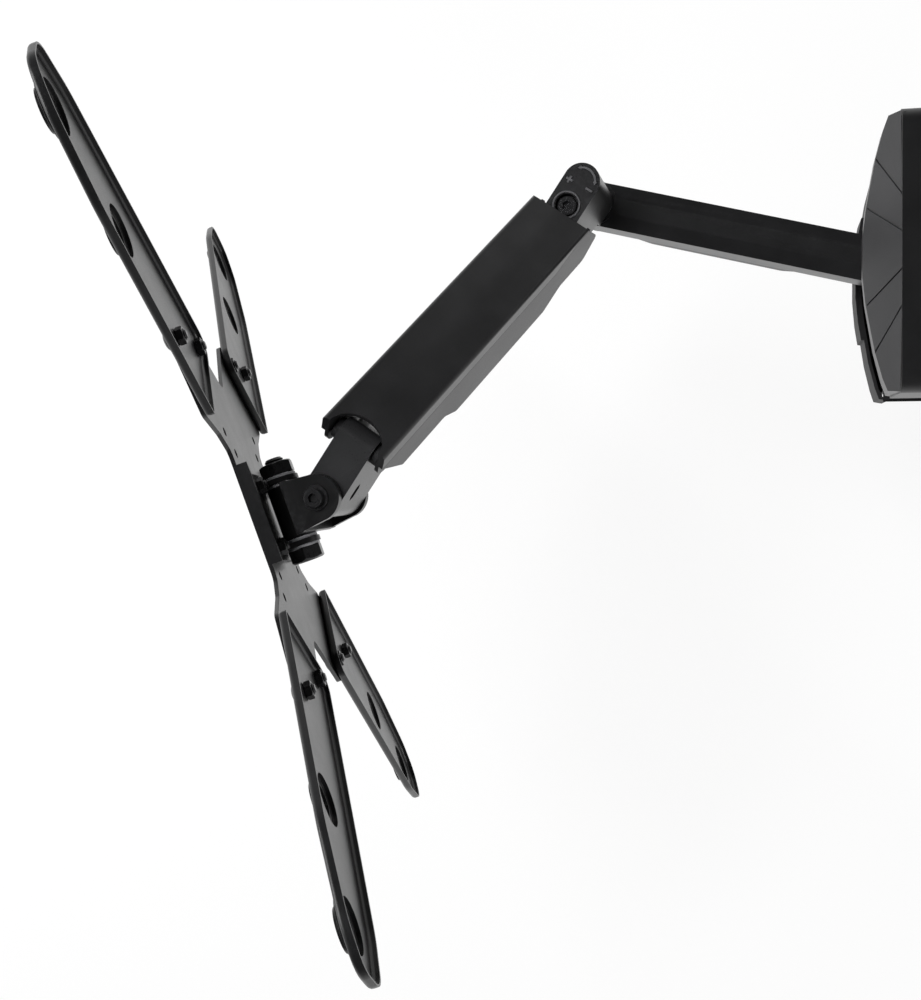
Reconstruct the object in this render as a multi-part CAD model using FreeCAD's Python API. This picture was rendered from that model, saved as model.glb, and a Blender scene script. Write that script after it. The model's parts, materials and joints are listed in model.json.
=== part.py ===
import FreeCAD
import Part
import math
import os

from FreeCAD import Placement, Rotation, Vector

# Rest pose in degrees: plan angles are turned from straight out of the wall
swing_angle = -14.0
spring_arm_angle = 56.0
facing_angle = 20.1
lift_angle = 37.8
tilt_angle = 11.8
level_angle = -2.2

# Clearances
running_gap = 0.05
thrust_gap = 0.3
fit_gap = 0.2
swing_gap = 0.8

# Wall unit
unit_width = 175.0
unit_height = 211.0
base_depth = 51.5
base_wall = 3.0
base_corner = 12.0
cover_wall = 2.5
cover_bulge = 21.2
cover_top_slope = 1.54
cover_facet_slope = 0.1
cover_groove_width = 0.9
cover_groove_depth = 0.7
band_width = 88.0
band_proud = 2.0
wall_plate_width = 138.0
wall_plate_height = 176.0
wall_plate_thickness = 4.0
wall_plate_corner = 8.0
wall_hole_x = 100.0
wall_hole_z = 140.0
wall_hole_radius = 4.5
pivot_out = 34.0
bracket_thickness = 5.0
bracket_half_width = 18.0
bracket_flange = 14.0
slot_margin = 3.5
slot_back = 16.0

# Wall pivot and elbow pivot
pivot_radius = 6.0
bush_wall = 3.0
bush_length = 10.0
bush_flange = 1.4
bush_flange_lip = 3.0
pivot_washer = 1.6
pivot_head = 5.0
pivot_head_radius = 11.0
nut_height = 8.0
nut_flats = 19.0
bolt_tail = 3.0

# Lower arm
lower_arm_length = 223.0
lower_arm_width = 29.0
lower_arm_height = 31.0
lower_arm_flat = 11.0
lower_arm_bevel = 3.0
lower_arm_edge = 2.0
lower_trough_width = 19.0
lower_trough_depth = 17.0
lower_trough_end = 30.0
lower_cover_near = 72.0
lower_cover_back = 25.0
lower_cover_taper = 15.0
lower_cover_depth = 16.0
lower_cover_wall = 2.0
lower_cover_edge = 5.0

# Elbow knuckle
knuckle_width = 24.4
knuckle_top = 90.0
knuckle_bolt_depth = 15.0
knuckle_foot_rise = 18.0
pin_reach = 32.0
upper_pin_drop = 10.7
pin_spacing = 28.0
pin_radius = 4.0
pin_boss = 10.7
lower_boss = 9.5
pocket_width = 14.4
pocket_floor = 38.0
pocket_back = 8.0
screw_reach = 17.8
recess_radius = 7.6
recess_depth = 2.5
screw_head_radius = 6.5
screw_head_height = 5.0
screw_socket_flats = 6.0
screw_socket_depth = 3.2
screw_radius = 4.0
screw_tip = 42.0
nut_block_reach = 11.2
nut_block_half_height = 9.0
spring_eye_drop = 15.3
spring_eye_reach = 29.0
spring_pin_radius = 3.0
spring_eye_radius = 5.5
spring_eye_width = 6.0

# Spring arm
spring_arm_length = 219.0
arm_width = 43.0
arm_top = 17.6
arm_shoulder = 15.4
arm_inside_top = 14.2
arm_shoulder_radius = 3.0
arm_seam = 2.8
seam_bend = 38.0
seam_start = 13.0
seam_high = 12.2
arm_flange_half = 19.0
arm_flange_wall = 2.5
arm_flange_drop = 11.0
arm_rear_edge = 3.4
arm_front_over = 8.6
arch_depth = 14.0
arch_half_width = 17.0
cable_cover_wall = 2.0
cable_cover_shallow = 26.0
cable_cover_deep = 38.5
cable_deep_start = 36.0
cable_deep_back = 79.0
cable_taper = 16.0
cable_rear = 20.0
cable_rear_drop = 9.0
cable_rear_low = 9.5
cable_front_back = 26.5
spring_front_back = 34.5
spring_front_rise = 2.0

# Lower link, a folded channel
link_wall = 2.5
link_half_inside = 13.0
link_end_radius = 7.0
link_web_inset = 26.0

# Gas spring
neck_radius = 4.0
neck_length = 27.0
cylinder_radius = 9.0
cylinder_back = 115.0
cylinder_floor = 16.0
rod_radius = 4.0
rod_eye_radius = 9.0
rod_eye_hole = 5.9
rod_eye_width = 7.0
rod_in_cylinder = 45.0

# Front link and swivel
front_link_width = 24.4
front_link_top = 9.5
front_link_bottom = 9.0
front_link_reach = 39.4
side_recess_length = 12.0
side_recess_height = 5.0
side_recess_depth = 1.5
side_recess_reach = 28.0
side_recess_drop = 7.0
swivel_radius = 5.0
swivel_bush_wall = 2.5
swivel_bush_length = 9.0
swivel_bush_flange = 1.2
swivel_bush_lip = 2.5
swivel_washer_radius = 7.6
swivel_washer_thickness = 1.6
swivel_head_radius = 5.6
swivel_head_height = 4.6
swivel_socket_flats = 5.0
swivel_socket_depth = 3.0
swivel_nut_height = 8.0
swivel_nut_flats = 16.0

# Swivel yoke and tilt
yoke_reach = 27.0
yoke_ear = 5.5
yoke_ear_radius = 14.0
yoke_half_width = 16.0
yoke_web_near = 13.7
yoke_web_thickness = 4.6
yoke_barrel_radius = 10.0
yoke_neck_half = 9.0
tilt_radius = 6.0
tilt_washer = 2.0
tilt_washer_radius = 10.0
tilt_ear = 3.0
tilt_ear_radius = 11.0
tilt_base = 3.0
tilt_base_half_width = 27.0
tilt_base_half_height = 29.0
tilt_head_height = 8.0
tilt_flats = 19.0
tilt_outer_washer = 1.8

# Screen plate
plate_out = 14.0
plate_thickness = 2.5
plate_waist_half = 38.0
plate_waist_rise = 51.0
plate_shoulder = 57.0
plate_shoulder_rise = 91.0
plate_tip_reach = 114.0
plate_tip_rise = 109.0
plate_tip_inner = 92.0
plate_tip_low = 50.0
plate_notch_reach = 80.0
plate_corner = 8.0
plate_lip = 6.0
plate_neck = 48.0
plate_neck_rise = 66.0
plate_shift = -3.6
bracket_bolt_u = 19.0
bracket_bolt_w = 20.0
bracket_bolt_radius = 3.0
dome_radius = 6.5
dome_height = 3.4
small_nut_height = 5.0
small_nut_flats = 10.0
small_tail = 2.0
vesa_small = (75.0, 100.0)
vesa_small_radius = 2.75
vesa_large = (300.0, 400.0)
vesa_large_radius = 4.25
arm_bolt_u = 100.0
arm_bolt_w = (52.0, 102.0)

# Pressed adapter arms: half-plate corners (along Y, along Z, rounding) of the leaf-shaped outline
blade_sheet = 2.0
blade_rim = 5.0
blade_outline = ((55.0, 93.0, 3.0), (103.0, 35.0, 11.0), (216.0, 176.0, 60.0), (231.0, 207.0, 16.0),
                 (213.0, 229.0, 17.0), (190.0, 225.0, 30.0), (150.0, 195.0, 70.0))
pad_radius = 16.0
pad_step = 3.2
pad_top_radius = 11.0

# Worked-out heights, reaches and radii
arm_half = lower_arm_height / 2
lower_cover_far = lower_arm_length - lower_cover_back
cable_deep_end = spring_arm_length - cable_deep_back
spring_front_reach = spring_arm_length - spring_front_back
cylinder_length = spring_arm_length - cylinder_back
cylinder_bore_depth = cylinder_length - cylinder_floor
bush_radius = pivot_radius + bush_wall
ear_inside = arm_half + bush_flange + thrust_gap
knuckle_bottom = arm_half + bush_flange + thrust_gap
upper_pin_height = knuckle_top - upper_pin_drop
lower_pin_height = upper_pin_height - pin_spacing
spring_eye_height = upper_pin_height - spring_eye_drop
knuckle_half = knuckle_width / 2
pocket_half = pocket_width / 2
slot_top = arm_half + slot_margin
slot_low = arm_half + lower_cover_depth + slot_margin
link_half_height = (front_link_top + pin_spacing + front_link_bottom) / 2
link_mid = front_link_top - link_half_height
swivel_bush_radius = swivel_radius + swivel_bush_wall
yoke_inside = link_half_height + swivel_bush_flange + thrust_gap
yoke_outside = yoke_inside + yoke_ear
tilt_ear_inside = yoke_half_width + tilt_washer + thrust_gap
tilt_ear_outside = tilt_ear_inside + tilt_ear
blade_back = plate_out - blade_sheet
rim_back = blade_back - blade_rim


# Chain of frames from the wall to the screen plate; a member runs along its own +X
def plan_turn(angle):
    return Rotation(Vector(0, 0, 1), angle - 90)


lower_frame = Placement(Vector(0, -pivot_out, 0), plan_turn(swing_angle))
elbow_point = lower_frame.multVec(Vector(lower_arm_length, 0, 0))
knuckle_frame = Placement(elbow_point, plan_turn(spring_arm_angle))
spring_frame = knuckle_frame.multiply(
    Placement(Vector(pin_reach, 0, upper_pin_height), Rotation(Vector(0, 1, 0), -lift_angle)))
front_point = spring_frame.multVec(Vector(spring_arm_length, 0, 0))
front_frame = Placement(front_point, plan_turn(spring_arm_angle))
rear_low_frame = knuckle_frame.multiply(
    Placement(Vector(pin_reach, 0, lower_pin_height), Rotation(Vector(0, 1, 0), -lift_angle)))
swivel_point = front_frame.multVec(Vector(front_link_reach, 0, link_mid))
yoke_frame = Placement(swivel_point, plan_turn(facing_angle))
plate_frame = yoke_frame.multiply(
    Placement(Vector(yoke_reach, 0, 0), Rotation(Vector(0, 1, 0), -tilt_angle)))
spring_eye_point = knuckle_frame.multVec(Vector(spring_eye_reach, 0, spring_eye_height))
spring_front_point = spring_frame.multVec(Vector(spring_front_reach, 0, spring_front_rise))
spring_pitch = math.degrees(math.asin(
    (spring_front_point - spring_eye_point).z / (spring_front_point - spring_eye_point).Length))
spring_length = (spring_front_point - spring_eye_point).Length
level_frame = plate_frame.multiply(
    Placement(Vector(0, plate_shift, 0), Rotation(Vector(1, 0, 0), level_angle)))
gas_frame = Placement(spring_eye_point, plan_turn(spring_arm_angle).multiply(
    Rotation(Vector(0, 1, 0), -spring_pitch)))


# Shape helpers
def block(x0, x1, y0, y1, z0, z1):
    return Part.makeBox(x1 - x0, y1 - y0, z1 - z0, Vector(x0, y0, z0))


def rod_x(radius, x0, x1, y=0, z=0):
    return Part.makeCylinder(radius, x1 - x0, Vector(x0, y, z), Vector(1, 0, 0))


def rod_y(radius, y0, y1, x=0, z=0):
    return Part.makeCylinder(radius, y1 - y0, Vector(x, y0, z), Vector(0, 1, 0))


def rod_z(radius, z0, z1, x=0, y=0):
    return Part.makeCylinder(radius, z1 - z0, Vector(x, y, z0), Vector(0, 0, 1))


def hexagon(flats, start, axis, height):
    corner = flats / math.sqrt(3)
    turn = Rotation(Vector(0, 0, 1), axis)
    ring = [start + turn.multVec(Vector(corner * math.cos(math.radians(60 * k)),
                                        corner * math.sin(math.radians(60 * k)), 0)) for k in range(7)]
    return Part.Face(Part.makePolygon(ring)).extrude(axis * height)


def outline(corners):
    # Closed wire in the XY plane: each corner is (x, y, rounding radius)
    edges = []
    starts = []
    ends = []
    count = len(corners)
    for k in range(count):
        before = Vector(corners[k - 1][0], corners[k - 1][1], 0)
        here = Vector(corners[k][0], corners[k][1], 0)
        after = Vector(corners[(k + 1) % count][0], corners[(k + 1) % count][1], 0)
        radius = corners[k][2]
        back = (before - here).normalize()
        ahead = (after - here).normalize()
        if radius == 0:
            starts.append(here)
            ends.append(here)
            edges.append(None)
            continue
        half = back.getAngle(ahead) / 2
        trim = radius / math.tan(half)
        first = here + back * trim
        last = here + ahead * trim
        centre = here + (back + ahead).normalize() * (radius / math.sin(half))
        middle = centre + (here - centre).normalize() * radius
        starts.append(first)
        ends.append(last)
        edges.append(Part.Arc(first, middle, last).toShape())
    wire = []
    for k in range(count):
        if edges[k] is not None:
            wire.append(edges[k])
        following = starts[(k + 1) % count]
        if (following - ends[k]).Length > 1e-6:
            wire.append(Part.makeLine(ends[k], following))
    return Part.Wire(wire)


def slab_z(corners, z0, z1):
    shape = Part.Face(outline(corners)).extrude(Vector(0, 0, z1 - z0))
    return shape.translated(Vector(0, 0, z0))


def slab_y(corners, y0, y1):
    # Outline given in X and Z, extruded along Y
    shape = Part.Face(outline(corners)).extrude(Vector(0, 0, y1 - y0))
    shape.rotate(Vector(0, 0, 0), Vector(1, 0, 0), 90)
    return shape.translated(Vector(0, y1, 0))


def slab_x(corners, x0, x1):
    # Outline given in Y and Z, extruded along X
    shape = Part.Face(outline(corners)).extrude(Vector(0, 0, x1 - x0))
    turn = Rotation(Vector(1, 1, 1), 120)
    shape.Placement = Placement(Vector(x0, 0, 0), turn)
    return shape


def below_plane(point, normal, size):
    # Large block on the side of a plane that its normal points away from
    box = Part.makeBox(size * 2, size * 2, size, Vector(-size, -size, -size))
    box.Placement = Placement(point, Rotation(Vector(0, 0, 1), normal))
    return box


def rectangle(half_x, half_y, radius):
    return [(-half_x, -half_y, radius), (half_x, -half_y, radius),
            (half_x, half_y, radius), (-half_x, half_y, radius)]


def export(name, shapes, frame=None):
    placed = []
    for shape in shapes:
        solid = shape.removeSplitter()
        if frame is not None:
            solid = moved(solid, frame)
        placed.extend(solid.Solids)
    whole = placed[0] if len(placed) == 1 else Part.makeCompound(placed)
    whole.exportStep("parts/" + name + ".step")


def moved(shape, frame):
    copy = shape.copy()
    copy.Placement = frame.multiply(copy.Placement)
    return copy


# Wall unit
def wall_plate():
    plate = slab_y(rectangle(wall_plate_width / 2, wall_plate_height / 2, wall_plate_corner),
                   -wall_plate_thickness, 0)
    for x in (-wall_hole_x / 2, wall_hole_x / 2):
        for z in (-wall_hole_z / 2, wall_hole_z / 2):
            plate = plate.cut(rod_y(wall_hole_radius, -wall_plate_thickness, 0, x, z))
    return plate


def pivot_bracket():
    back = -wall_plate_thickness
    outer = ear_inside + bracket_thickness
    reach = pivot_out + bracket_half_width
    base = block(-bracket_half_width - bracket_flange, bracket_half_width + bracket_flange,
                 back - bracket_thickness, back, -outer, outer)
    bracket = base
    for side in (-1, 1):
        z0 = ear_inside if side > 0 else -outer
        ear = block(-bracket_half_width, bracket_half_width, -pivot_out, back, z0, z0 + bracket_thickness)
        nose = rod_z(bracket_half_width, z0, z0 + bracket_thickness, 0, -pivot_out)
        bracket = bracket.fuse([ear, nose])
    bore = rod_z(pivot_radius, -outer, outer, 0, -pivot_out)
    return bracket.cut(bore).common(block(-unit_width, unit_width, -reach, 0, -outer, outer))


def base_housing():
    half_x = unit_width / 2
    half_z = unit_height / 2
    outer = slab_y(rectangle(half_x, half_z, base_corner), -base_depth, 0)
    inner = slab_y(rectangle(half_x - base_wall, half_z - base_wall, base_corner - base_wall), -base_depth, 0)
    slot = block(-unit_width, unit_width, -base_depth, -slot_back, -slot_low, slot_top)
    ledge = slab_y(rectangle(half_x - base_wall, half_z - base_wall, base_corner - base_wall),
                   -wall_plate_thickness, 0)
    window = slab_y(rectangle(wall_plate_width / 2, wall_plate_height / 2, wall_plate_corner),
                    -wall_plate_thickness, 0)
    return outer.cut(inner).cut(slot).fuse(ledge.cut(window))


def crease_points():
    # Ends of each crease of the front: its rear X, its front X and how far the front stands out there
    return ((0.067 * unit_width, 0.174 * unit_width, 0.92 * cover_bulge),
            (0.202 * unit_width, 0.346 * unit_width, 0.675 * cover_bulge))


def cover_profile(inset):
    # Plan outline of the faceted front, symmetrical about the middle
    half = unit_width / 2
    side = [crease_points()[0][1:], crease_points()[1][1:], (0.447 * unit_width, 0.465 * cover_bulge),
            (0.495 * unit_width, 0.325 * cover_bulge)]
    points = [(half - inset, -base_depth)]
    for x, out in reversed(side):
        points.append((min(x, half - inset), -base_depth - out + inset))
    points.append((0.073 * unit_width, -base_depth - cover_bulge + inset))
    mirrored = [(-x, y) for x, y in reversed(points)]
    return [(x, y, 0) for x, y in points + mirrored]


def crease_direction(crease):
    # Level direction across a crease, away from the middle
    rear_x, front_x, out = crease
    length = math.hypot(front_x - rear_x, out)
    return Vector(out / length, (front_x - rear_x) / length, 0)


def cover_height(x, out, top):
    # Height of the faceted hood at a place in front of the housing
    height = top - cover_top_slope * out
    for crease in crease_points():
        beyond = (Vector(abs(x) - crease[0], -out, 0)).dot(crease_direction(crease))
        height -= cover_facet_slope * max(0, beyond)
    return height


def cover_solid(inset, low):
    top = unit_height / 2 - inset * math.hypot(1, cover_top_slope)
    solid = slab_z(cover_profile(inset), low, unit_height / 2)
    solid = solid.common(below_plane(Vector(0, -base_depth, top), Vector(0, -cover_top_slope, 1), unit_height))
    slope_x = 0.0
    slope_y = cover_top_slope
    for crease in crease_points():
        across = crease_direction(crease)
        slope_x += cover_facet_slope * across.x
        slope_y -= cover_facet_slope * across.y
        height = cover_height(crease[0], 0, top)
        for side in (-1, 1):
            solid = solid.common(below_plane(Vector(side * crease[0], -base_depth, height),
                                             Vector(side * slope_x, -slope_y, 1), unit_height))
    return solid


def cover_grooves():
    # Fine grooves along the creases
    top = unit_height / 2
    grooves = []
    for rear_x, front_x, out in crease_points():
        for side in (-1, 1):
            rear = Vector(side * rear_x, -base_depth, cover_height(rear_x, 0, top))
            front = Vector(side * front_x, -base_depth - out, cover_height(front_x, out, top))
            run = front - rear
            bar = block(-cover_groove_depth, cover_groove_depth, -cover_groove_width / 2, cover_groove_width / 2,
                        -cover_wall, run.Length + cover_wall)
            bar.Placement = Placement(rear, Rotation(run, Vector(0, 0, 0), Vector(0, -1, 0), "ZXY"))
            grooves.append(bar)
    return grooves


def front_cover_upper():
    return cover_solid(0, slot_top).cut(cover_solid(cover_wall, slot_top)).cut(cover_grooves())


def front_cover_lower():
    band = cover_solid(-band_proud, slot_low).common(
        block(-band_width / 2, band_width / 2, -unit_width, -base_depth, slot_low, unit_height / 2))
    shell = cover_solid(0, slot_low).fuse(band).cut(cover_solid(cover_wall, slot_low))
    return shell.mirror(Vector(0, 0, 0), Vector(0, 0, 1))


def wall_pivot_bolt():
    top = ear_inside + bracket_thickness
    shank = rod_z(pivot_radius, -top - nut_height - bolt_tail, top)
    head = rod_z(pivot_head_radius, top, top + pivot_head)
    return head.fuse(shank).translated(Vector(0, -pivot_out, 0))


def wall_pivot_nut():
    top = -ear_inside - bracket_thickness
    nut = hexagon(nut_flats, Vector(0, 0, top), Vector(0, 0, -1), nut_height)
    bore = rod_z(pivot_radius, top - nut_height, top)
    return nut.cut(bore).translated(Vector(0, -pivot_out, 0))


# Lower arm
def lower_arm():
    half = lower_arm_width / 2
    flat = lower_arm_flat / 2
    section = [(-half, -arm_half, lower_arm_edge), (half, -arm_half, lower_arm_edge),
               (half, arm_half - lower_arm_bevel, 0), (flat, arm_half, 0),
               (-flat, arm_half, 0), (-half, arm_half - lower_arm_bevel, 0)]
    arm = slab_x(section, 0, lower_arm_length)
    for x in (0, lower_arm_length):
        arm = arm.fuse(rod_z(half, -arm_half, arm_half, x))
    trough = block(lower_trough_end, lower_arm_length - lower_trough_end,
                   -lower_trough_width / 2, lower_trough_width / 2,
                   -arm_half, -arm_half + lower_trough_depth)
    arm = arm.cut(trough)
    for x in (0, lower_arm_length):
        arm = arm.cut(rod_z(bush_radius, -arm_half, arm_half, x))
    return arm


def pivot_bushes(x):
    bushes = []
    for side in (-1, 1):
        sleeve = rod_z(bush_radius, arm_half - bush_length, arm_half)
        flange = rod_z(bush_radius + bush_flange_lip, arm_half, arm_half + bush_flange)
        bush = sleeve.fuse(flange)
        bush = bush.cut(rod_z(pivot_radius + running_gap, arm_half - bush_length, arm_half + bush_flange))
        if side < 0:
            bush = bush.mirror(Vector(0, 0, 0), Vector(0, 0, 1))
        bushes.append(bush.translated(Vector(x, 0, 0)))
    return bushes


def lower_arm_cable_cover():
    half = lower_arm_width / 2 - lower_arm_edge / 2
    low = -arm_half - lower_cover_depth
    wall = lower_cover_wall
    sides = [(lower_cover_near, -arm_half, 0), (lower_cover_near + lower_cover_taper, low, lower_cover_edge),
             (lower_cover_far - lower_cover_taper, low, lower_cover_edge), (lower_cover_far, -arm_half, 0)]
    cover = slab_y(sides, -half, half)
    inner = [(lower_cover_near + 2 * wall, -arm_half, 0),
             (lower_cover_near + lower_cover_taper + wall, low + wall, lower_cover_edge - wall),
             (lower_cover_far - lower_cover_taper - wall, low + wall, lower_cover_edge - wall),
             (lower_cover_far - 2 * wall, -arm_half, 0)]
    cover = cover.cut(slab_y(inner, -half + wall, half - wall))
    mouth_half = lower_trough_width / 2 - wall
    mouth = block(lower_cover_near, lower_cover_far, -mouth_half, mouth_half,
                  -arm_half - lower_cover_depth / 2, -arm_half)
    return cover.cut(mouth)


# Elbow knuckle
def elbow_knuckle():
    half = knuckle_half
    nose = pin_reach + pin_boss
    plan = rod_z(half, knuckle_bottom, knuckle_top).fuse(
        block(0, nose, -half, half, knuckle_bottom, knuckle_top))
    side = [(-half, knuckle_bottom, 0), (half, knuckle_bottom, 0),
            (half, knuckle_bottom + knuckle_foot_rise / 2, 0),
            (nose, lower_pin_height - lower_boss, lower_boss),
            (nose, knuckle_top, pin_boss - fit_gap), (-half, knuckle_top, 0)]
    body = plan.common(slab_y(side, -half, half))
    pocket_top = knuckle_top - recess_depth - screw_head_height - bush_wall
    pocket = block(pocket_back, nose, -pocket_half, pocket_half, pocket_floor, pocket_top)
    body = body.cut(pocket)
    body = body.cut(rod_z(recess_radius, knuckle_top - recess_depth - screw_head_height, knuckle_top, screw_reach))
    body = body.cut(rod_z(screw_radius + running_gap, pocket_floor, knuckle_top, screw_reach))
    for height in (upper_pin_height, lower_pin_height):
        body = body.cut(rod_y(pin_radius, -half, half, pin_reach, height))
    front_slot = block(pin_reach - pin_radius, nose, -pocket_half, pocket_half, pocket_floor, knuckle_top)
    body = body.cut(front_slot)
    return body.cut(rod_z(pivot_radius, knuckle_bottom, knuckle_bottom + knuckle_bolt_depth))


def elbow_pivot_bolt():
    low = -arm_half - bush_flange - thrust_gap - pivot_washer
    shank = rod_z(pivot_radius, low, knuckle_bottom + knuckle_bolt_depth)
    return shank.fuse(hexagon(nut_flats, Vector(0, 0, low), Vector(0, 0, -1), nut_height))


def elbow_washer():
    low = -arm_half - bush_flange - thrust_gap - pivot_washer
    ring = rod_z(bush_radius + bush_flange_lip, low, low + pivot_washer)
    return ring.cut(rod_z(pivot_radius, low, low + pivot_washer))


def rear_pins():
    reach = arm_flange_half
    low_reach = link_half_inside + link_wall
    return [rod_y(pin_radius, -reach, reach, pin_reach, upper_pin_height),
            rod_y(pin_radius, -low_reach, low_reach, pin_reach, lower_pin_height)]


def spacer_bushes(half, x, z):
    outer = arm_flange_half - arm_flange_wall - thrust_gap
    bushes = []
    for side in (-1, 1):
        y0 = half if side > 0 else -outer
        y1 = outer if side > 0 else -half
        ring = rod_y(pin_radius + bush_wall, y0, y1, x, z).cut(rod_y(pin_radius, y0, y1, x, z))
        bushes.append(ring)
    return bushes


def adjuster_nut():
    half = pocket_half - fit_gap
    z0 = spring_eye_height - nut_block_half_height
    z1 = spring_eye_height + nut_block_half_height
    fork_reach = spring_eye_reach + spring_eye_radius
    body = block(nut_block_reach, spring_eye_reach, -half, half, z0, z1)
    nose = rod_y(spring_eye_radius, -half, half, spring_eye_reach, spring_eye_height)
    neck = block(nut_block_reach, spring_eye_reach, -half, half,
                 spring_eye_height - spring_eye_radius, spring_eye_height + spring_eye_radius)
    front = screw_reach + screw_radius
    body = body.common(block(nut_block_reach, front, -half, half, z0, z1)).fuse([neck, nose])
    gap = spring_eye_width / 2 + thrust_gap
    slot = block(spring_eye_reach - spring_eye_radius - swing_gap, fork_reach, -gap, gap, z0, z1)
    body = body.cut(slot)
    body = body.cut(rod_y(spring_pin_radius, -half, half, spring_eye_reach, spring_eye_height))
    return body.cut(rod_z(screw_radius + running_gap, z0, z1, screw_reach))


def spring_rear_pin():
    half = pocket_half - fit_gap
    return rod_y(spring_pin_radius, -half, half, spring_eye_reach, spring_eye_height)


def adjuster_screw():
    seat = knuckle_top - recess_depth - screw_head_height + fit_gap
    head = rod_z(screw_head_radius, seat, seat + screw_head_height)
    socket = hexagon(screw_socket_flats, Vector(0, 0, seat + screw_head_height), Vector(0, 0, -1),
                     screw_socket_depth)
    return head.fuse(rod_z(screw_radius, screw_tip, seat)).cut(socket).translated(Vector(screw_reach, 0, 0))


# Spring arm
def arm_end_cut():
    # Space behind the arm's rear end, which stands upright at rest
    lean = math.radians(lift_angle)
    depth = arm_top - arm_seam
    lower = arm_rear_edge - depth * math.tan(lean)
    far = arm_rear_edge - arm_width * 2
    return slab_y([(far, arm_seam, 0), (lower, arm_seam, 0), (arm_rear_edge, arm_top, 0),
                   (arm_rear_edge, arm_width, 0), (far, arm_width, 0)], -arm_width, arm_width)


def spring_arm_channel():
    half = arm_width / 2
    inside = arm_flange_half - arm_flange_wall
    rear = -pin_boss
    front = spring_arm_length + arm_front_over
    cap_section = [(half, arm_seam, 0), (half, arm_shoulder, arm_shoulder_radius), (0, arm_top, half * 2),
                   (-half, arm_shoulder, arm_shoulder_radius), (-half, arm_seam, 0), (-inside, arm_seam, 0),
                   (-inside, arm_inside_top, 0), (inside, arm_inside_top, 0), (inside, arm_seam, 0)]
    cap = slab_x(cap_section, rear - arm_width, front).cut(arm_end_cut())
    lap = half - cable_cover_wall - fit_gap
    rise = [(rear - arm_width, arm_seam, 0), (seam_bend, arm_seam, 0), (seam_start, seam_high, 0),
            (rear - arm_width, seam_high, 0)]
    cap = cap.cut([slab_y(rise, lap, arm_width), slab_y(rise, -arm_width, -lap)])
    arch = Part.Ellipse(Vector(front, 0, 0), arch_half_width, arch_depth)
    arch = Part.Face(Part.Wire(arch.toShape())).extrude(Vector(0, 0, arm_width))
    arch.rotate(Vector(front, 0, 0), Vector(0, 0, 1), 90)
    cap = cap.cut(arch.common(block(0, front * 2, -inside - arm_width, inside + arm_width, arm_seam, arm_width)))
    flanges = []
    for side in (-1, 1):
        y0 = inside if side > 0 else -arm_flange_half
        plate = slab_y([(rear, arm_seam, 0), (rear, -arm_flange_drop, arm_flange_drop - 1),
                        (front, -arm_flange_drop, arm_flange_drop - 1), (front, arm_seam, 0)],
                       y0, y0 + arm_flange_wall)
        flanges.append(plate)
    channel = cap.fuse(flanges)
    for x in (0, spring_arm_length):
        channel = channel.cut(rod_y(pin_radius + running_gap, -arm_flange_half, arm_flange_half, x))
    return channel.cut(rod_y(spring_pin_radius, -arm_flange_half, arm_flange_half,
                             spring_front_reach, spring_front_rise))


def spring_arm_cable_cover():
    half = arm_width / 2
    wall = cable_cover_wall
    lean = math.radians(lift_angle)
    top = arm_seam - fit_gap
    high = seam_high - fit_gap
    rear_top = arm_rear_edge - (arm_top - high) * math.tan(lean)
    front = spring_arm_length + arm_front_over
    front_low = front - cable_front_back

    def profile(inset):
        return [(seam_bend, top, 0), (seam_start, high, 0), (rear_top, high, 0),
                (-cable_rear + inset, -cable_rear_drop, 4),
                (-cable_rear_low + inset, -cable_cover_shallow + inset, 6),
                (cable_deep_start - cable_taper, -cable_cover_shallow + inset, 6),
                (cable_deep_start, -cable_cover_deep + inset, 6),
                (cable_deep_end, -cable_cover_deep + inset, 6),
                (cable_deep_end + cable_taper, -cable_cover_shallow + inset, 6),
                (front_low - inset, -cable_cover_shallow + inset, 3), (front, top, 0)]

    cover = slab_y(profile(0), -half, half)
    inner = half - wall
    cover = cover.cut(slab_y(profile(wall), -inner, inner))
    cover = cover.cut(block(-arm_width, front + arm_width, -inner, inner, -cable_cover_shallow, arm_width))
    rear_way = block(-arm_width, cable_deep_start, -inner, inner, -cable_cover_deep, arm_width)
    front_way = block(cable_deep_end, front + arm_width, -inner, inner, -cable_cover_deep, arm_width)
    return cover.cut(rear_way).cut(front_way)


def spring_front_pin():
    return rod_y(spring_pin_radius, -arm_flange_half, arm_flange_half, spring_front_reach, spring_front_rise)


def lower_link():
    outside = link_half_inside + link_wall
    radius = link_end_radius
    side = [(-radius, -radius, radius - 1), (spring_arm_length + radius, -radius, radius - 1),
            (spring_arm_length + radius, radius, radius - 1), (-radius, radius, radius - 1)]
    link = slab_y(side, -outside, outside)
    link = link.cut(block(-radius, spring_arm_length + radius, -link_half_inside, link_half_inside,
                          -radius + link_wall, radius))
    for x0, x1 in ((-radius, link_web_inset), (spring_arm_length - link_web_inset, spring_arm_length + radius)):
        link = link.cut(block(x0, x1, -link_half_inside, link_half_inside, -radius, radius))
    for x in (0, spring_arm_length):
        link = link.cut(rod_y(pin_radius + running_gap, -outside, outside, x))
    return link


def gas_cylinder():
    half = spring_eye_width / 2
    eye = rod_y(spring_eye_radius, -half, half)
    neck = rod_x(neck_radius, 0, neck_length).cut(rod_y(spring_eye_radius - 1, -neck_radius, neck_radius))
    neck = neck.common(block(0, neck_length, -neck_radius, neck_radius, -neck_radius, neck_radius))
    end = neck_length + cylinder_length
    tube = rod_x(cylinder_radius, neck_length, end)
    tube = tube.cut(rod_x(rod_radius + running_gap, end - cylinder_bore_depth, end))
    neck = neck.cut(block(0, spring_eye_radius, half, neck_radius, -neck_radius, neck_radius))
    neck = neck.cut(block(0, spring_eye_radius, -neck_radius, -half, -neck_radius, neck_radius))
    return eye.fuse([neck, tube]).cut(rod_y(spring_pin_radius + running_gap, -half, half))


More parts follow.
